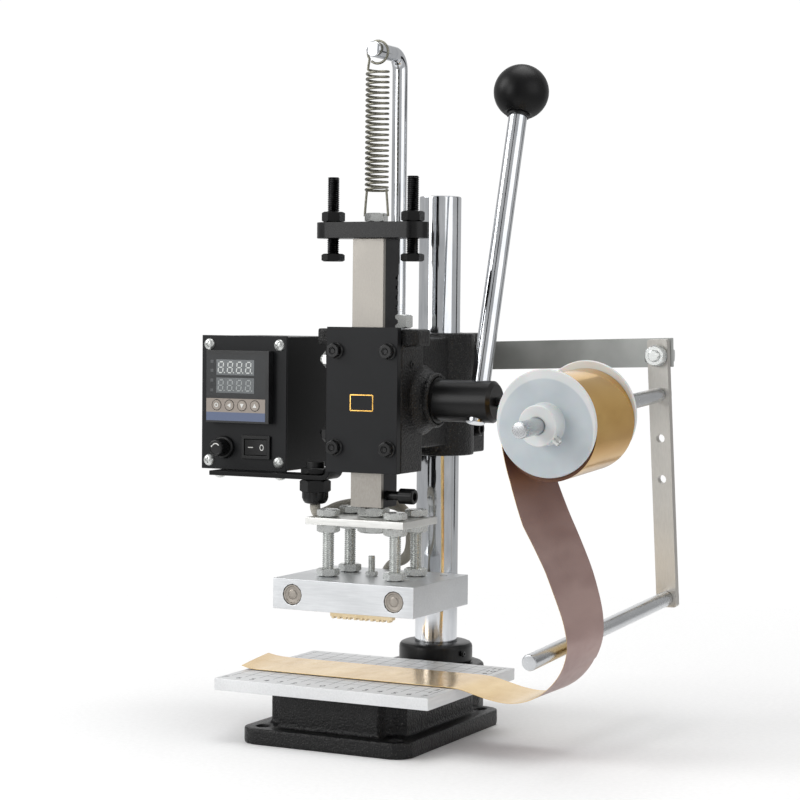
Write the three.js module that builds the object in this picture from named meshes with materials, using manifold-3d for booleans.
// Bench-top hot foil stamper: a rack-and-pinion press with a heated platen over a small table,
// a temperature controller in a box on the left and a foil reel on an arm on the right.
// Millimetres, +Z up. X = 0 is the centre plane, Y = 0 the ram's axis and Z = 0 the bench.
// +X is the lever's side and +Y points back, towards the column.
import * as THREE from "three";
import { mergeVertices } from "three/addons/utils/BufferGeometryUtils.js";
import Module from "manifold-3d";

const wasm = await Module();
wasm.setup();

// Driving dimensions --------------------------------------------------------------------------

const GAP = 0.3; // clearance between pieces that touch
const ROUND = 24; // sides of a large circle

const COLUMN = { y: 95, r: 14.3, top: 350.4 };
const BASE = { halfX: 59, y0: -70, y1: 76, flange: 10, top: 32, corner: 12 };
const PEDESTAL = { halfX: 48, y0: -60, y1: 67, bite: 12 };
const HOLE = { x: 47, front: -58, back: 64, r: 4.5 };
const TABLE = { halfX: 75, y0: -72, y1: 58, z0: 32.4, z1: 40 };
const HEAD = { halfX: 25.5, y0: -13, y1: 18, z0: 169.4, z1: 251.5, lugTop: 261 };
const SLEEVE = { r: 24.5, z0: 175.5, z1: 258 };
const EAR = { halfX: 14, y1: 141.3, boltY: 122, boltZ: [192, 247] };
const COVER = { halfX: 25.3, y0: -18.3, y1: -13.3, z0: 169.4, z1: 262.1 };
const COVER_BOLT = { x: 18.8, z: [185.2, 247] };
const PINION = { y: 22, z: 215.3, module: 2, teeth: 13, pressure: Math.PI / 9, slack: 0.12 };
const BOSS = { r: 18, end: 35.3 };
const HUB = { r: 13.5, end: 76 };
const LEVER = { x: 63, r: 6.2, lean: 17.3, length: 212.1, ball: 18.3 };
const RAM = { half: 11, z0: 147, z1: 318.4, tipY: 10.4, pitchY: 9, rootY: 6.5 };
const CROSSBAR = { z0: 318.7, z1: 329, x: 28.5, y: -5, endR: 10.5, midR: 15 };
const HANGER = { y: 32, r: 5, bend: 10, top: 438.7, tip: -7.3, foot: 240 };
const SPRING = { r: 7.8, wire: 0.8, z0: 348.6, z1: 427.4, foot: 333 };
const PLATE = { halfX: 35, y0: -27.4, y1: 22, z0: 135.7, z1: 140.3 };
const LEVELLING = { x: 24, y: [-16.5, 13.5], r: 4, af: 13 };
const PLATEN = { halfX: 50, y0: -42, y1: 38, z0: 82.5, z1: 102 };
const CARTRIDGE = { x: 36, z: 92, r: 6.5 };
const DIE = { x: [-15, 29], y: [-30, -25], z: [77, PLATEN.z0 - GAP] };
const BOX = { x0: -129.8, x1: -65.1, z0: 166.2, z1: 255.3, depth: 75, wall: 2 };
const CONTROLLER = { x: -99, z: 221.5, half: 24, proud: 6 };
const KEY = { x: -114.7, pitch: 9.75, z: 209.2, r: 3.3, proud: 0.4 };
const FUSE = { x: -112, z: 181, r: 7.5 };
const SWITCH = { x: -87.2, z: 181.6, halfX: 10.8, halfZ: 7.7, tilt: 7 };
const BRACKET = { x0: -116, x1: -25.8, y0: -13, y1: 6, z0: 163, z1: 250, t: 3 };
const GLAND = { x: -41, y: -3.5, z0: 147, r: 9.5 };
const ARM = { x0: 2, x1: 150, y: 141.6, t: 5, half: 9.75, z: 241.8, roll: 1.9, boltDrop: 2.06 };
const STRAP = { x: 142.6, y: 137.5, z: 244.4, half: 7.2, t: 5, foot: -170, head: 11 };
const STRAP_TILT = { droop: 4, roll: -1.5, yaw: -2.5 };
const REEL_ROD = { z: -26, r: 5, length: 213 };
const GUIDE_ROD_Z = -164;
const REEL = { front: 175.7, rear: 115.4, flangeR: 33, flangeT: 3, hubR: 12.5, hubT: 12, spool: 9 };
const FOIL = { r: 32, bore: 13, width: 53.5, y0: -34, t: 0.5, restZ: 40.7 };

const degrees = THREE.MathUtils.degToRad;

// Shapes --------------------------------------------------------------------------------------

// A box from its low and high limits along each axis.
function box([x0, x1], [y0, y1], [z0, z1]) {
  const geometry = new THREE.BoxGeometry(x1 - x0, y1 - y0, z1 - z0);
  return geometry.translate((x0 + x1) / 2, (y0 + y1) / 2, (z0 + z1) / 2);
}

// A body turned about a line along an axis: the profile lists [radius, distance along the axis].
function turned(profile, axis, [x, y, z], segments = 16) {
  const points = profile.map(([radius, along]) => new THREE.Vector2(radius, along));
  const geometry = new THREE.LatheGeometry(points, segments);
  if (axis === "z") geometry.rotateX(Math.PI / 2);
  if (axis === "x") geometry.rotateZ(-Math.PI / 2);
  return geometry.translate(x, y, z);
}

// A plain cylinder along an axis, through a point.
function bar(axis, at, radius, [from, to], segments = 12) {
  return turned([[0, from], [radius, from], [radius, to], [0, to]], axis, at, segments);
}

// A cylinder with its two rims chamfered.
function chamferedBar(axis, at, radius, [from, to], chamfer, segments = 16) {
  const profile = [
    [0, from],
    [radius - chamfer, from],
    [radius, from + chamfer],
    [radius, to - chamfer],
    [radius - chamfer, to],
    [0, to],
  ];
  return turned(profile, axis, at, segments);
}

// A flat outline raised along Z.
function prism(shape, [z0, z1], curveSegments = 6) {
  const options = { depth: z1 - z0, bevelEnabled: false, curveSegments };
  return new THREE.ExtrudeGeometry(shape, options).translate(0, 0, z0);
}

// An outline of [y, z] points carried along X.
function prismX(points, [x0, x1]) {
  const shape = new THREE.Shape(points.map(([y, z]) => new THREE.Vector2(y, z)));
  const geometry = prism(shape, [x0, x1]);
  return geometry.rotateZ(Math.PI / 2).rotateY(Math.PI / 2);
}

// An outline of [x, z] points carried along Y.
function prismY(points, [y0, y1]) {
  const shape = new THREE.Shape(points.map(([x, z]) => new THREE.Vector2(x, z)));
  return prism(shape, [-y1, -y0]).rotateX(Math.PI / 2);
}

function roundedRectangle([x0, x1], [y0, y1], r) {
  const shape = new THREE.Shape();
  shape.absarc(x1 - r, y0 + r, r, -Math.PI / 2, 0);
  shape.absarc(x1 - r, y1 - r, r, 0, Math.PI / 2);
  shape.absarc(x0 + r, y1 - r, r, Math.PI / 2, Math.PI);
  shape.absarc(x0 + r, y0 + r, r, Math.PI, Math.PI * 1.5);
  shape.closePath();
  return shape;
}

// Points evenly spaced on an arc from one angle to another, both in radians.
function arc([cx, cy], radius, from, to, steps) {
  return Array.from({ length: steps + 1 }, (_, i) => {
    const angle = from + ((to - from) * i) / steps;
    return [cx + radius * Math.cos(angle), cy + radius * Math.sin(angle)];
  });
}

// A hexagonal prism on a vertical axis, its flats facing +X and -X.
function hexagon([x, y], acrossFlats, [z0, z1]) {
  const geometry = new THREE.CylinderGeometry(
    acrossFlats / Math.sqrt(3),
    acrossFlats / Math.sqrt(3),
    z1 - z0,
    6,
  );
  return geometry.rotateX(Math.PI / 2).translate(x, y, (z0 + z1) / 2);
}

// The outline around several circles drawn tight, as a belt would lie round them.
function beltOutline(circles, steps = 24) {
  const points = circles.flatMap(([cx, cy, r]) => arc([cx, cy], r, 0, 2 * Math.PI, steps));
  points.sort((a, b) => a[0] - b[0] || a[1] - b[1]);
  const turn = (a, b, c) => (b[0] - a[0]) * (c[1] - a[1]) - (b[1] - a[1]) * (c[0] - a[0]);
  const chain = (list) => {
    const kept = [];
    for (const point of list) {
      while (kept.length > 1 && turn(kept.at(-2), kept.at(-1), point) <= 1e-6) kept.pop();
      kept.push(point);
    }
    return kept.slice(0, -1);
  };
  const hull = [...chain(points), ...chain(points.toReversed())];
  return new THREE.Shape(hull.map(([x, y]) => new THREE.Vector2(x, y)));
}

// A route stepped from point to point, so that a tube turns only where its list has points.
class Route extends THREE.Curve {
  constructor(points) {
    super();
    this.points = points;
  }
  getPoint(t) {
    const place = Math.min(Math.max(t, 0), 1) * (this.points.length - 1);
    const index = Math.min(Math.floor(place), this.points.length - 2);
    return this.points[index].clone().lerp(this.points[index + 1], place - index);
  }
  getUtoTmapping(u) {
    return u;
  }
}

// A round tube along a route.
function tube(points, radius, sides) {
  const rim = arc([0, 0], radius, 0, 2 * Math.PI * (1 - 1 / sides), sides - 1);
  const section = new THREE.Shape(rim.map(([x, y]) => new THREE.Vector2(x, y)));
  const options = { steps: points.length - 1, extrudePath: new Route(points) };
  return new THREE.ExtrudeGeometry(section, options);
}

// Joins and cuts ------------------------------------------------------------------------------

function solid(geometry) {
  const plain = geometry.clone();
  plain.deleteAttribute("normal");
  plain.deleteAttribute("uv");
  const merged = mergeVertices(plain);
  const mesh = new wasm.Mesh({
    numProp: 3,
    vertProperties: merged.attributes.position.array,
    triVerts: new Uint32Array(merged.index.array),
  });
  return new wasm.Manifold(mesh);
}

function geometryOf(body) {
  const mesh = body.getMesh();
  const geometry = new THREE.BufferGeometry();
  geometry.setAttribute("position", new THREE.BufferAttribute(mesh.vertProperties, 3));
  geometry.setIndex(new THREE.BufferAttribute(mesh.triVerts, 1));
  return geometry;
}

function join(...geometries) {
  return geometryOf(geometries.map(solid).reduce((whole, next) => whole.add(next)));
}

function cut(geometry, ...tools) {
  return geometryOf(tools.map(solid).reduce((rest, tool) => rest.subtract(tool), solid(geometry)));
}

// Base, table and column ----------------------------------------------------------------------

function baseCasting() {
  const flangePlan = roundedRectangle([-BASE.halfX, BASE.halfX], [BASE.y0, BASE.y1], BASE.corner);
  const footSide = [-PEDESTAL.halfX, PEDESTAL.halfX];
  const holes = [-1, 1].flatMap((side) => [
    [side * HOLE.x, HOLE.front],
    [side * HOLE.x, HOLE.back],
  ]);
  const corners = holes.map(([x, y]) =>
    bar("z", [x, y, 0], PEDESTAL.bite, [BASE.flange, BASE.top + 1]),
  );
  const pedestal = cut(
    box(footSide, [PEDESTAL.y0, PEDESTAL.y1], [BASE.flange - 2, BASE.top]),
    ...corners,
  );
  const columnBoss = chamferedBar("z", [0, COLUMN.y, 0], 33, [0, 34], 1.5, ROUND);
  const outside = join(prism(flangePlan, [0, BASE.flange]), pedestal, columnBoss);

  // The underside is hollow, with a cross of ribs left between four pockets.
  const pocket = (side, near, far) => {
    const bevel = 12 * Math.sign(far - near);
    const plan = new THREE.Shape();
    plan.moveTo(side * 4, near);
    plan.lineTo(side * 40, near);
    plan.lineTo(side * 40, far - bevel * 1.2);
    plan.lineTo(side * 28, far);
    plan.lineTo(side * 4, far);
    plan.closePath();
    return prism(plan, [-1, 24]);
  };
  const pockets = [-1, 1].flatMap((side) => [pocket(side, -5, -53), pocket(side, 5, 60)]);
  const boltHoles = holes.map(([x, y]) => bar("z", [x, y, 0], HOLE.r, [-1, BASE.flange + 1]));
  const bore = bar("z", [0, COLUMN.y, 0], COLUMN.r + GAP, [-1, 40], ROUND);
  const ribbed = cut(outside, ...pockets, ...boltHoles, bore);
  return join(ribbed, bar("z", [0, 0, 0], 12, [0, 25]));
}

function column() {
  return chamferedBar("z", [0, COLUMN.y, 0], COLUMN.r, [3, COLUMN.top], 1, ROUND);
}

function columnCollar() {
  const inner = COLUMN.r + GAP;
  const profile = [
    [inner, 34 + GAP],
    [24.2, 34 + GAP],
    [25, 36],
    [25, 44.5],
    [24, 46.8],
    [21.5, 48],
    [inner, 48],
    [inner, 34 + GAP],
  ];
  return turned(profile, "z", [0, COLUMN.y, 0]);
}

// Head ----------------------------------------------------------------------------------------

function headCasting() {
  const pinionLine = [0, PINION.y, PINION.z];
  const lugPlan = roundedRectangle([-37, 35], [HEAD.y0, -HEAD.y0], 6);
  const bossProfile = [
    [0, 12],
    [23, 12],
    [23, 24],
    [20, 27.5],
    [BOSS.r, 30],
    [BOSS.r, BOSS.end - 1],
    [BOSS.r - 1, BOSS.end],
    [0, BOSS.end],
  ];
  const outside = join(
    box([-HEAD.halfX, HEAD.halfX], [HEAD.y0, HEAD.y1], [HEAD.z0, HEAD.z1]),
    prism(lugPlan, [HEAD.z1 - 1, HEAD.lugTop]),
    box([-16, 16], [8, 45], [240, HEAD.lugTop]),
    box([-16, 16], [8, 80], [183, 255]),
    bar("z", [0, COLUMN.y, 0], SLEEVE.r, [SLEEVE.z0, SLEEVE.z1], ROUND),
    box([-EAR.halfX, EAR.halfX], [108, EAR.y1], [SLEEVE.z0, SLEEVE.z1]),
    turned(bossProfile, "x", pinionLine, ROUND),
    bar("x", pinionLine, BOSS.r, [-HEAD.halfX, -12], ROUND),
  );
  const channel = RAM.half + GAP;
  const boltHoles = [-1, 1].flatMap((side) =>
    COVER_BOLT.z.map((z) => bar("y", [side * COVER_BOLT.x, 0, z], 2.8, [HEAD.y0 - 1, 2])),
  );
  return cut(
    outside,
    box([-channel, channel], [HEAD.y0 - 5, channel], [HEAD.z0 - 5, HEAD.lugTop + 5]),
    bar("x", pinionLine, 15 + GAP, [-22.3, BOSS.end + 5], ROUND),
    bar("z", [0, COLUMN.y, 0], COLUMN.r + GAP, [SLEEVE.z0 - 5, SLEEVE.z1 + 5], ROUND),
    box([-1.5, 1.5], [COLUMN.y + 5, EAR.y1 + 5], [SLEEVE.z0 - 5, SLEEVE.z1 + 5]),
    ...EAR.boltZ.map((z) => bar("x", [0, EAR.boltY, z], 3 + GAP, [-12.3, 20])),
    bar("z", [0, HANGER.y, 0], HANGER.r + GAP, [HANGER.foot - GAP, HEAD.lugTop + 5]),
    ...boltHoles,
  );
}

// The cover closes the ram's channel, and a pad on its back guides the ram.
function headCover() {
  const plate = box([-COVER.halfX, COVER.halfX], [COVER.y0, COVER.y1], [COVER.z0, COVER.z1]);
  const pad = box([-10.5, 10.5], [COVER.y1 - 1, -RAM.half - GAP], [COVER.z0 + 1, HEAD.lugTop]);
  const holes = [-1, 1].flatMap((side) =>
    COVER_BOLT.z.map((z) => bar("y", [side * COVER_BOLT.x, 0, z], 2.8, [-20, -12])),
  );
  return cut(join(plate, pad), ...holes);
}

function coverBolt() {
  const head = hexagon([0, 0], 8.4, [1.2, 4.6]);
  const flange = bar("z", [0, 0, 0], 5.2, [0, 1.4]);
  const shank = bar("z", [0, 0, 0], 2.5, [-18, 0.5]);
  return join(head, flange, shank).rotateX(Math.PI / 2);
}

function clampBolt() {
  const head = chamferedBar("x", [0, 0, 0], 5, [GAP, 6.3], 0.5);
  const shank = bar("x", [0, 0, 0], 3, [-25.8, 0.5]);
  const socket = hexagon([0, 0], 5, [3, 8]).rotateY(Math.PI / 2);
  return cut(join(head, shank), socket);
}

// Spring hanger: up from the head, round a bend and forwards over the ram.
function springHanger() {
  const bendCentre = [HANGER.y - HANGER.bend, HANGER.top - HANGER.bend];
  const bend = arc(bendCentre, HANGER.bend, 0, Math.PI / 2, 8);
  const route = [[HANGER.y, HANGER.foot], ...bend, [HANGER.tip, HANGER.top]];
  return tube(route.map(([y, z]) => new THREE.Vector3(0, y, z)), HANGER.r, 12);
}

function hangerNut() {
  const z0 = HEAD.lugTop + GAP;
  const hole = bar("z", [0, HANGER.y, 0], HANGER.r + GAP, [z0 - 1, z0 + 12]);
  return cut(hexagon([0, HANGER.y], 17, [z0, z0 + 9]), hole);
}

// Rack, pinion and lever ----------------------------------------------------------------------

// Outline of the pinion's teeth with involute flanks, as [y, z] about its own axis. A tooth
// space faces the rack, along -Y.
function pinionOutline() {
  const { module: size, teeth, pressure, slack } = PINION;
  const pitchRadius = (size * teeth) / 2;
  const baseRadius = pitchRadius * Math.cos(pressure);
  const involute = (angle) => Math.tan(angle) - angle;
  const halfAngle = (radius) => {
    const angle = Math.acos(Math.min(1, baseRadius / radius));
    return Math.PI / (2 * teeth) - slack / pitchRadius + involute(pressure) - involute(angle);
  };
  const radii = [11, baseRadius + 0.01, 13.6, 15];
  const outline = [];
  for (let tooth = 0; tooth < teeth; tooth += 1) {
    const middle = Math.PI + ((tooth + 0.5) * 2 * Math.PI) / teeth;
    const rising = radii.map((radius) => [radius, middle - halfAngle(radius)]);
    const falling = radii.toReversed().map((radius) => [radius, middle + halfAngle(radius)]);
    outline.push(...rising, ...falling);
  }
  return outline.map(([radius, angle]) => [radius * Math.cos(angle), radius * Math.sin(angle)]);
}

function pinionShaft() {
  const toothed = prismX(pinionOutline(), [-11.5, 11.5]).translate(0, PINION.y, PINION.z);
  const axis = [0, PINION.y, PINION.z];
  const leftJournal = chamferedBar("x", axis, 15, [-22, -11.2], 0.5);
  const hubProfile = [
    [0, 11.2],
    [15, 11.2],
    [15, BOSS.end],
    [HUB.r, BOSS.end + GAP],
    [HUB.r, HUB.end - 2.2],
    [HUB.r - 2.2, HUB.end],
    [0, HUB.end],
  ];
  const leverHole = bar("z", [0, 0, 0], LEVER.r + GAP, [-30, 30]);
  leverHole.rotateX(-degrees(LEVER.lean)).translate(LEVER.x, PINION.y, PINION.z);
  const screwHole = bar("x", axis, 3 + GAP, [LEVER.x, HUB.end + 2]);
  return cut(join(toothed, leftJournal, turned(hubProfile, "x", axis, 24)), leverHole, screwHole);
}

function leverRod() {
  return chamferedBar("z", [0, 0, 0], LEVER.r, [-14.4, LEVER.length - 11], 0.8);
}

// The ball has a flat where the rod enters and a blind bore for the rod's end.
function ballKnob() {
  const bore = LEVER.r + GAP;
  const flat = Math.sqrt(LEVER.ball ** 2 - 9.5 ** 2);
  const start = Math.asin(-flat / LEVER.ball);
  const outside = arc([0, 0], LEVER.ball, start, Math.PI / 2, 9).slice(0, -1);
  return turned(
    [[0, GAP - 11], [bore, GAP - 11], [bore, -flat], ...outside, [0, LEVER.ball]],
    "z",
    [0, 0, LEVER.length],
    20,
  );
}

function leverSetScrew() {
  const from = LEVER.x + LEVER.r + GAP;
  return chamferedBar("x", [0, PINION.y, PINION.z], 3, [from, HUB.end + 4], 0.4, 16);
}

// Ram: a square bar with rack teeth along its back.
function ram() {
  const pitch = Math.PI * PINION.module;
  const slope = Math.tan(PINION.pressure);
  const atPitch = pitch / 4 - PINION.slack;
  const halfWidth = (y) => atPitch - (y - RAM.pitchY) * slope;
  const teeth = [];
  for (let tooth = -6; tooth <= 12; tooth += 1) {
    const z = PINION.z + tooth * pitch;
    teeth.push([RAM.rootY, z - halfWidth(RAM.rootY)]);
    teeth.push([RAM.tipY, z - halfWidth(RAM.tipY)]);
    teeth.push([RAM.tipY, z + halfWidth(RAM.tipY)]);
    teeth.push([RAM.rootY, z + halfWidth(RAM.rootY)]);
  }
  const lowest = teeth[0][1];
  const highest = teeth.at(-1)[1];
  const outline = [
    [-RAM.half, RAM.z0],
    [RAM.half, RAM.z0],
    [RAM.half, lowest - 3],
    [RAM.rootY, lowest - 1],
    ...teeth,
    [RAM.rootY, highest + 1],
    [RAM.half, highest + 3],
    [RAM.half, RAM.z1],
    [-RAM.half, RAM.z1],
  ];
  return cut(
    prismX(outline, [-RAM.half, RAM.half]),
    bar("z", [0, 0, 0], 6 + GAP, [RAM.z0 - 1, 162]),
    bar("z", [0, 0, 0], 4 + GAP, [302, RAM.z1 + 1]),
    bar("x", [0, -2, 154.5], 3 + GAP, [4, RAM.half + 1]),
  );
}

function ramClampScrew() {
  const shank = bar("x", [0, 0, 0], 3, [6.6, 21]);
  const head = chamferedBar("x", [0, 0, 0], 5, [20.5, 30.5], 0.5);
  const socket = hexagon([0, 0], 5, [26, 32]).rotateY(Math.PI / 2);
  return cut(join(shank, head), socket);
}

// Crossbar and its stops ----------------------------------------------------------------------

function crossbar() {
  const ends = [-1, 1].map((side) => [side * CROSSBAR.x, CROSSBAR.y, CROSSBAR.endR]);
  const plan = beltOutline([...ends, [0, -1, CROSSBAR.midR]]);
  const holes = [[0, 0], ...ends].map(([x, y]) =>
    bar("z", [x, y, 0], 4 + GAP, [CROSSBAR.z0 - 1, CROSSBAR.z1 + 1]),
  );
  return cut(prism(plan, [CROSSBAR.z0, CROSSBAR.z1]), ...holes);
}

function crossbarBolt() {
  const top = CROSSBAR.z1 + GAP;
  return join(hexagon([0, 0], 13, [top, 335]), bar("z", [0, 0, 0], 4, [303, top + 1]));
}

// A stop bolt hangs head down through the crossbar; the head meets the lug when the ram is low.
function stopBolt() {
  return join(
    hexagon([0, 0], LEVELLING.af, [304, 309]),
    chamferedBar("z", [0, 0, 0], LEVELLING.r, [308, 358], 0.7, 12),
  );
}

// Return spring as the solid that its coils fill, with its top loop and its two straight legs.
function returnSpring() {
  const coils = bar("z", [0, 0, 0], SPRING.r, [SPRING.z0, SPRING.z1]);
  const loop = new THREE.TorusGeometry(HANGER.r + 1.4, SPRING.wire, 6, 16);
  loop.rotateX(Math.PI / 2).translate(0, 0, HANGER.top);
  const neck = bar("z", [0, 0, 0], SPRING.wire, [SPRING.z1 - 1, HANGER.top - 5.9], 8);
  const legs = [-1, 1].map((side) => {
    const top = new THREE.Vector3(side * (SPRING.r - 1), 0, SPRING.z0 + 1);
    const bottom = new THREE.Vector3(side * (SPRING.r + 0.6), 0, SPRING.foot);
    return tube([bottom, top], SPRING.wire, 6);
  });
  return join(coils, loop, neck, ...legs);
}

// Platen and what holds it --------------------------------------------------------------------

function adapterShank() {
  const bottom = PLATE.z0 - GAP - 5.4;
  return join(
    hexagon([0, 0], 18, [bottom, PLATE.z0 - GAP]),
    bar("z", [0, 0, 0], 6, [bottom + 1, 160]),
  );
}

function adapterNut() {
  const hole = bar("z", [0, 0, 0], 6 + GAP, [PLATE.z1, RAM.z0]);
  return cut(hexagon([0, 0], 18, [PLATE.z1 + GAP, RAM.z0 - GAP]), hole);
}

const levellingPlaces = LEVELLING.y.flatMap((y) => [
  [-LEVELLING.x, y],
  [LEVELLING.x, y],
]);

function adapterPlate() {
  const blank = box([-PLATE.halfX, PLATE.halfX], [PLATE.y0, PLATE.y1], [PLATE.z0, PLATE.z1]);
  const holes = levellingPlaces.map(([x, y]) =>
    bar("z", [x, y, 0], LEVELLING.r + GAP, [PLATE.z0 - 1, PLATE.z1 + 1]),
  );
  return cut(blank, bar("z", [0, 0, 0], 6 + GAP, [PLATE.z0 - 1, PLATE.z1 + 1]), ...holes);
}

// A levelling bolt with its two nuts: one under the plate and one on the platen.
function levellingBolt() {
  const head = [PLATE.z1 + GAP, PLATE.z1 + GAP + 4.7];
  const upperNut = [PLATE.z0 - GAP - 5, PLATE.z0 - GAP];
  const lowerNut = [PLATEN.z1 + GAP, PLATEN.z1 + GAP + 5];
  const hexagons = [head, upperNut, lowerNut].map((span) => hexagon([0, 0], LEVELLING.af, span));
  return join(...hexagons, bar("z", [0, 0, 0], LEVELLING.r, [94, head[0] + 1]));
}

function heatingPlate() {
  const sides = [-PLATEN.halfX, PLATEN.halfX];
  const blank = box(sides, [PLATEN.y0, PLATEN.y1], [PLATEN.z0, PLATEN.z1]);
  const boltHoles = levellingPlaces.map(([x, y]) =>
    bar("z", [x, y, 0], LEVELLING.r + GAP, [94 - GAP, PLATEN.z1 + 1]),
  );
  const bores = [-1, 1].map((side) =>
    bar("y", [side * CARTRIDGE.x, 0, CARTRIDGE.z], CARTRIDGE.r + GAP, [-50, 28 + GAP]),
  );
  return cut(blank, ...boltHoles, ...bores);
}

function heaterCartridge(side) {
  const span = [PLATEN.y0 + 0.2, 28];
  return chamferedBar("y", [side * CARTRIDGE.x, 0, CARTRIDGE.z], CARTRIDGE.r, span, 0.5);
}

// Heater lead: out of the gland, round behind the ram, down to the platen and over its back edge.
function heaterCable() {
  const places = [
    [GLAND.x, GLAND.y, GLAND.z0 - GAP - 0.15],
    [GLAND.x, GLAND.y + 0.3, 143.6],
    [-41.3, 0, 140.6],
    [-41.6, 6, 139.6],
    [-40.5, 13, 140.8],
    [-37, 19, 143.2],
    [-30, 24.5, 145.2],
    [-18, 27.5, 146.3],
    [-5, 28.5, 146.4],
    [4.5, 28.5, 144.4],
    [10, 28.5, 139.6],
    [12.2, 28.5, 133],
    [12.6, 29, 126.5],
    [12, 30, 120],
    [9.8, 31.5, 114.2],
    [5.4, 34, 110],
    [-0.8, 37.2, 107.4],
    [-7, 40.4, 104.8],
    [-11.2, 42, 100.2],
    [-13, 42.2, 95],
    [-13.4, 42.2, 90.5],
  ];
  const curve = new THREE.CatmullRomCurve3(places.map((place) => new THREE.Vector3(...place)));
  return tube(curve.getPoints(24), 3.4, 8);
}

// Control box ---------------------------------------------------------------------------------

function controlBoxBody() {
  const { x0, x1, z0, z1, depth, wall } = BOX;
  const outside = box([x0 + 0.8, x1 - 0.8], [wall + GAP, depth], [z0 + 0.4, z1 - 0.5]);
  const inside = box(
    [x0 + 0.8 + wall, x1 - 0.8 - wall],
    [0, depth - wall],
    [z0 + 0.4 + wall, z1 - 0.5 - wall],
  );
  return cut(outside, inside, box([-111, -84], [60, 80], [195, 215]));
}

function controlBoxPanel() {
  const { x, z } = CONTROLLER;
  return cut(
    box([BOX.x0, BOX.x1], [0, BOX.wall], [BOX.z0, BOX.z1]),
    box([x - 22.5, x + 22.5], [-5, 5], [z - 22.5, z + 22.5]),
    bar("y", [FUSE.x, 0, FUSE.z], 6 + GAP, [-5, 5]),
    box([SWITCH.x - 9.8, SWITCH.x + 9.8], [-5, 5], [SWITCH.z - 6.7, SWITCH.z + 6.7]),
  );
}

const keyPlaces = Array.from({ length: 4 }, (_, i) => [KEY.x + i * KEY.pitch, KEY.z]);

function temperatureController() {
  const { x, z, half, proud } = CONTROLLER;
  const pockets = keyPlaces.map(([keyX, keyZ]) =>
    bar("y", [keyX, 0, keyZ], KEY.r + GAP, [-proud - 1, -proud + 2.5]),
  );
  return cut(
    join(
      box([x - half, x + half], [-proud, -GAP], [z - half, z + half]),
      box([x - 22.2, x + 22.2], [-1, 50], [z - 22.2, z + 22.2]),
    ),
    ...pockets,
  );
}

function controllerKey([x, z]) {
  const front = -CONTROLLER.proud - KEY.proud;
  return chamferedBar("y", [x, 0, z], KEY.r, [front, front + 2.3], 0.3, 12);
}

function fuseHolder() {
  const profile = [[0, -3], [FUSE.r, -3], [FUSE.r, -GAP], [6, -GAP], [6, 28], [0, 28]];
  return turned(profile, "y", [FUSE.x, 0, FUSE.z]);
}

function fuseCap() {
  return chamferedBar("y", [FUSE.x, 0, FUSE.z], 5.6, [-12, -3 - GAP], 0.6);
}

function switchBody() {
  const { x, z, halfX, halfZ } = SWITCH;
  return cut(
    join(
      box([x - halfX, x + halfX], [-2, -GAP], [z - halfZ, z + halfZ]),
      box([x - 9.5, x + 9.5], [-1, 20], [z - 6.4, z + 6.4]),
    ),
    box([x - 8.6, x + 8.6], [-3, 8], [z - 5.4, z + 5.4]),
  );
}

// The rocker is drawn level about its own pivot and tilted by its mesh.
function switchRocker() {
  const outline = [
    [-7.9, -4],
    [0, -3.1],
    [7.9, -4],
    [7.9, 0],
    [3, 4],
    [-3, 4],
    [-7.9, 0],
  ];
  const plan = new THREE.Shape(outline.map(([x, y]) => new THREE.Vector2(x, y)));
  return prism(plan, [-5.1, 5.1]);
}

// Mains inlet in the back of the box: a flange, a socket and its three blades.
function mainsInlet() {
  const back = BOX.depth;
  const housing = join(
    box([-114, -81], [back + GAP, back + 3], [193, 217]),
    box([-110.7, -84.3], [58, back + 1], [195.3, 214.7]),
  );
  const socket = box([-108.7, -86.3], [62, back + 5], [197.3, 212.7]);
  const blades = [[-97.5, 208], [-104, 202], [-91, 202]].map(([x, z]) =>
    box([x - 1, x + 1], [61, 73], [z - 2, z + 2]),
  );
  return join(cut(housing, socket), ...blades);
}

// Bracket: a flat strip under the box that turns up against the head's left side.
function boxBracket() {
  const { x0, x1, y0, y1, z0, z1, t } = BRACKET;
  const outerBend = arc([x1 - 6, z0 + 6], 6, -Math.PI / 2, 0, 5);
  const innerBend = arc([x1 - 6, z0 + 6], 6 - t, 0, -Math.PI / 2, 5);
  const outline = [[x0, z0], ...outerBend, [x1, z1], [x1 - t, z1], ...innerBend, [x0, z0 + t]];
  const hole = bar("z", [GLAND.x, GLAND.y, 0], 6 + GAP, [z0 - 1, z0 + t + 1]);
  return cut(prismY(outline, [y0, y1]), hole);
}

// Gland with its locknut above the strip.
function cableGland() {
  const seat = BRACKET.z0 - GAP;
  const top = BRACKET.z0 + BRACKET.t + GAP;
  const profile = [
    [0, GLAND.z0],
    [6.5, GLAND.z0],
    [8.6, GLAND.z0 + 2.5],
    [8.6, GLAND.z0 + 6.5],
    [GLAND.r, GLAND.z0 + 7],
    [GLAND.r, seat],
    [6, seat],
    [6, top],
    [8.8, top],
    [8.8, top + 4],
    [6, top + 4],
    [6, top + 8],
    [0, top + 8],
  ];
  return turned(profile, "z", [GLAND.x, GLAND.y, 0]);
}

// Foil reel -----------------------------------------------------------------------------------

// The arm is drawn level about its own left end and tilted by its mesh.
function reelArm() {
  const strapX = STRAP.x - ARM.x0;
  const hole = bar("y", [strapX, 0, -ARM.boltDrop], 4 + GAP, [-1, ARM.t + 1]);
  return cut(box([0, ARM.x1 - ARM.x0], [0, ARM.t], [-ARM.half, ARM.half]), hole);
}

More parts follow.
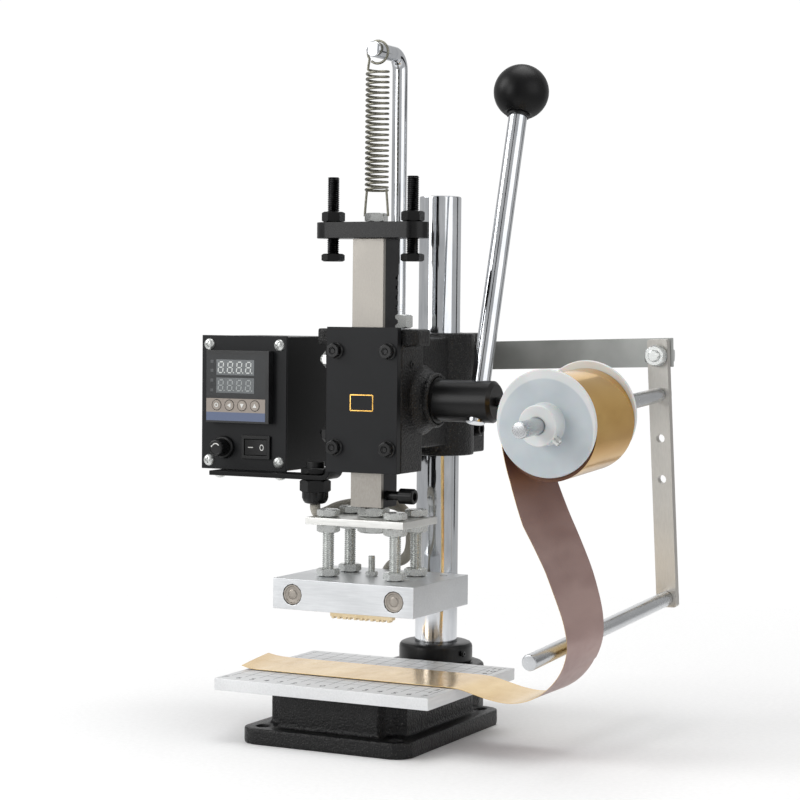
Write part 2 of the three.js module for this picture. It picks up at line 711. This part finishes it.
// The strap, its rods and the reel are drawn about the strap's bolt.
function reelStrap() {
  const plan = roundedRectangle([-STRAP.half, STRAP.half], [STRAP.foot, STRAP.head], 2);
  const holes = [
    [0, 4.7],
    [REEL_ROD.z, 3.7 + GAP],
    [-55.5, 3],
    [-83, 3],
    [GUIDE_ROD_Z, 3.7 + GAP],
  ];
  const thickness = [-STRAP.t / 2, STRAP.t / 2];
  const blank = prism(plan, thickness).rotateX(Math.PI / 2);
  return cut(blank, ...holes.map(([z, r]) => bar("y", [0, 0, z], r, [-10, 10])));
}

// Bolt with its washer between the strap and the arm, its head behind and its nut in front.
function strapBolt() {
  const hex = (from, to) => hexagon([0, 0], 13, [from, to]).rotateX(-Math.PI / 2);
  const face = STRAP.t / 2 + 3 * GAP; // the strap leans, so its bolt stands clear of it
  const armBack = ARM.y + ARM.t - STRAP.y;
  return join(
    bar("y", [0, 0, 0], 4, [-face - 8, armBack + 2]),
    hex(-face - 6, -face),
    bar("y", [0, 0, 0], 6, [face, face + 0.5]),
    hex(armBack + GAP, armBack + 5),
  );
}

// A rod that stands out in front of the strap on a thinner stud.
function strapRod(z) {
  const front = -STRAP.t / 2 - GAP;
  const end = front - REEL_ROD.length;
  const profile = [
    [0, end],
    [REEL_ROD.r - 0.8, end],
    [REEL_ROD.r, end + 0.8],
    [REEL_ROD.r, front],
    [3.7, front],
    [3.7, STRAP.t / 2 + 5],
    [0, STRAP.t / 2 + 5],
  ];
  return turned(profile, "y", [0, 0, z]);
}

// A flange with a clamped hub outside and a spool inside that carries the roll.
function reelFlange(middle, outward) {
  const bore = REEL_ROD.r + GAP;
  const face = REEL.flangeT / 2;
  const profile = [
    [bore, -face - 10],
    [REEL.spool, -face - 10],
    [REEL.spool, -face],
    [REEL.flangeR - 0.6, -face],
    [REEL.flangeR, -face + 0.6],
    [REEL.flangeR, face - 0.6],
    [REEL.flangeR - 0.6, face],
    [REEL.hubR, face],
    [REEL.hubR, face + REEL.hubT],
    [bore, face + REEL.hubT],
    [bore, -face - 10],
  ];
  const geometry = turned(profile, "y", [0, 0, 0], 28);
  if (outward < 0) geometry.rotateZ(Math.PI);
  return geometry.translate(0, -STRAP.t / 2 - middle, REEL_ROD.z);
}

// The roll hangs by its core on the two spools, so its axis lies below the rod's.
function foilRoll() {
  const low = REEL.rear + REEL.flangeT / 2 + GAP - 0.1;
  const high = REEL.front - REEL.flangeT / 2 - GAP;
  const front = -STRAP.t / 2 - high;
  const back = -STRAP.t / 2 - low;
  const profile = [
    [FOIL.bore, front],
    [FOIL.r, front],
    [FOIL.r, back],
    [FOIL.bore, back],
    [FOIL.bore, front],
  ];
  const sag = FOIL.bore - REEL.spool - GAP;
  return turned(profile, "y", [0, 0, REEL_ROD.z - sag]);
}

// Foil web: across the table, off its right edge, round outside the guide rod and up to the roll.
function foilWeb() {
  const route = [
    [-83, 42.4],
    [-77, 41.2],
    [-70, FOIL.restZ],
    [-60, FOIL.restZ],
    [60, FOIL.restZ],
    [70, FOIL.restZ],
    [77, 40.2],
    [87, 38],
    [99, 35.3],
    [112, 34.4],
    [125, 37.4],
    [137, 45.5],
    [145.5, 57],
    [148.8, 70],
    [146.8, 84],
    [138.5, 106],
    [128, 130],
    [118, 151],
    [109.5, 172],
    [104.8, 190],
    [103, 203],
  ];
  const curve = new THREE.CatmullRomCurve3(route.map(([x, z]) => new THREE.Vector3(x, 0, z)));
  const count = 56;
  const side = (offset) =>
    Array.from({ length: count + 1 }, (_, i) => {
      const { x, z } = curve.getPoint(i / count);
      const heading = curve.getTangent(i / count);
      return [x - heading.z * offset, z + heading.x * offset];
    });
  const outline = [...side(-FOIL.t / 2), ...side(FOIL.t / 2).reverse()];
  return prismY(outline, [FOIL.y0, FOIL.y0 + FOIL.width]);
}

// Materials -----------------------------------------------------------------------------------

function finish(color, roughness, metalness) {
  return new THREE.MeshStandardMaterial({ color, roughness, metalness });
}

const castBlack = finish(0x17181a, 0.55, 0.3);
const blackSteel = finish(0x1c1d1f, 0.45, 0.6);
const satinBlack = finish(0x2e2f31, 0.42, 0.3);
const chrome = finish(0xdfe2e6, 0.08, 1);
const nickel = finish(0xc9c2ba, 0.32, 0.9);
const zinc = finish(0xbfc3c4, 0.3, 0.95);
const aluminium = finish(0xb4b6b8, 0.35, 0.9);
const brass = finish(0xb98a3c, 0.35, 0.95);
const heaterTip = finish(0xa79c92, 0.5, 0.7);
const blackPlastic = finish(0x151617, 0.5, 0);
const keyGrey = finish(0xb1a79d, 0.6, 0);
const nylon = finish(0xd4d9da, 0.5, 0);
const glassBraid = finish(0xbdb9ad, 0.9, 0);
const gold = finish(0xc9a85c, 0.3, 0.8);

// Assembly ------------------------------------------------------------------------------------

const stamper = new THREE.Group();

function add(parent, name, geometry, material, [x, y, z] = [0, 0, 0]) {
  const mesh = new THREE.Mesh(geometry, material);
  mesh.name = name;
  mesh.position.set(x, y, z);
  parent.add(mesh);
  return mesh;
}

const tableSpan = [-TABLE.halfX, TABLE.halfX];
add(stamper, "base_casting", baseCasting(), castBlack);
add(
  stamper,
  "work_table",
  box(tableSpan, [TABLE.y0, TABLE.y1], [TABLE.z0, TABLE.z1]),
  aluminium,
);
add(stamper, "column", column(), chrome);
add(stamper, "column_collar", columnCollar(), castBlack);

add(stamper, "head_casting", headCasting(), castBlack);
add(stamper, "head_cover", headCover(), satinBlack);
[-1, 1].forEach((side, file) => {
  COVER_BOLT.z.forEach((z, row) => {
    const place = [side * COVER_BOLT.x, COVER.y0 - GAP, z];
    add(stamper, `cover_bolt_${2 * file + row + 1}`, coverBolt(), blackSteel, place);
  });
});
["lower", "upper"].forEach((level, i) => {
  const place = [EAR.halfX, EAR.boltY, EAR.boltZ[i]];
  add(stamper, `clamp_bolt_${level}`, clampBolt(), blackSteel, place);
});
add(stamper, "spring_hanger", springHanger(), chrome);
add(stamper, "hanger_nut", hangerNut(), zinc);

add(stamper, "pinion_shaft", pinionShaft(), blackSteel);
add(stamper, "lever_set_screw", leverSetScrew(), blackSteel);
const lever = new THREE.Group();
lever.position.set(LEVER.x, PINION.y, PINION.z);
lever.rotation.x = -degrees(LEVER.lean);
stamper.add(lever);
add(lever, "lever_rod", leverRod(), chrome);
add(lever, "ball_knob", ballKnob(), blackPlastic);

add(stamper, "ram", ram(), nickel);
add(stamper, "ram_clamp_screw", ramClampScrew(), blackSteel, [0, -2, 154.5]);
add(stamper, "crossbar", crossbar(), blackSteel);
add(stamper, "crossbar_bolt", crossbarBolt(), zinc);
add(stamper, "stop_bolt_left", stopBolt(), zinc, [-CROSSBAR.x, CROSSBAR.y, 0]);
add(stamper, "stop_bolt_right", stopBolt(), zinc, [CROSSBAR.x, CROSSBAR.y, 0]);
add(stamper, "return_spring", returnSpring(), zinc);
add(stamper, "adapter_shank", adapterShank(), zinc);
add(stamper, "adapter_nut", adapterNut(), zinc);
add(stamper, "adapter_plate", adapterPlate(), nickel);
levellingPlaces.forEach(([x, y], i) => {
  add(stamper, `levelling_bolt_${i + 1}`, levellingBolt(), zinc, [x, y, 0]);
});
add(stamper, "heating_plate", heatingPlate(), aluminium);
add(stamper, "heater_cartridge_left", heaterCartridge(-1), heaterTip);
add(stamper, "heater_cartridge_right", heaterCartridge(1), heaterTip);
add(stamper, "stamping_die", box(DIE.x, DIE.y, DIE.z), brass);
add(stamper, "heater_cable", heaterCable(), glassBraid);

add(stamper, "control_box_body", controlBoxBody(), satinBlack);
add(stamper, "control_box_panel", controlBoxPanel(), satinBlack);
add(stamper, "temperature_controller", temperatureController(), blackPlastic);
keyPlaces.forEach((place, i) => {
  add(stamper, `controller_key_${i + 1}`, controllerKey(place), keyGrey);
});
add(stamper, "fuse_holder", fuseHolder(), blackPlastic);
add(stamper, "fuse_cap", fuseCap(), blackPlastic);
add(stamper, "switch_body", switchBody(), blackPlastic);
const rocker = add(stamper, "switch_rocker", switchRocker(), blackPlastic, [SWITCH.x, 1.8, SWITCH.z]);
rocker.rotation.z = degrees(SWITCH.tilt);
add(stamper, "mains_inlet", mainsInlet(), blackPlastic);
add(stamper, "box_bracket", boxBracket(), blackSteel);
add(stamper, "cable_gland", cableGland(), blackPlastic);

const arm = add(stamper, "reel_arm", reelArm(), nickel, [ARM.x0, ARM.y, ARM.z]);
arm.rotation.y = -degrees(ARM.roll);
const reelFrame = new THREE.Group();
reelFrame.position.set(STRAP.x, STRAP.y, STRAP.z);
reelFrame.rotation.set(
  degrees(STRAP_TILT.droop),
  degrees(STRAP_TILT.roll),
  degrees(STRAP_TILT.yaw),
  "ZXY",
);
stamper.add(reelFrame);
add(stamper, "strap_bolt", strapBolt(), zinc, [STRAP.x, STRAP.y, STRAP.z]);
add(reelFrame, "reel_strap", reelStrap(), nickel);
add(reelFrame, "reel_rod", strapRod(REEL_ROD.z), zinc);
add(reelFrame, "guide_rod", strapRod(GUIDE_ROD_Z), zinc);
add(reelFrame, "reel_flange_front", reelFlange(REEL.front, -1), nylon);
add(reelFrame, "reel_flange_rear", reelFlange(REEL.rear, 1), nylon);
add(reelFrame, "foil_roll", foilRoll(), gold);
add(stamper, "foil_web", foilWeb(), gold);

export default stamper;
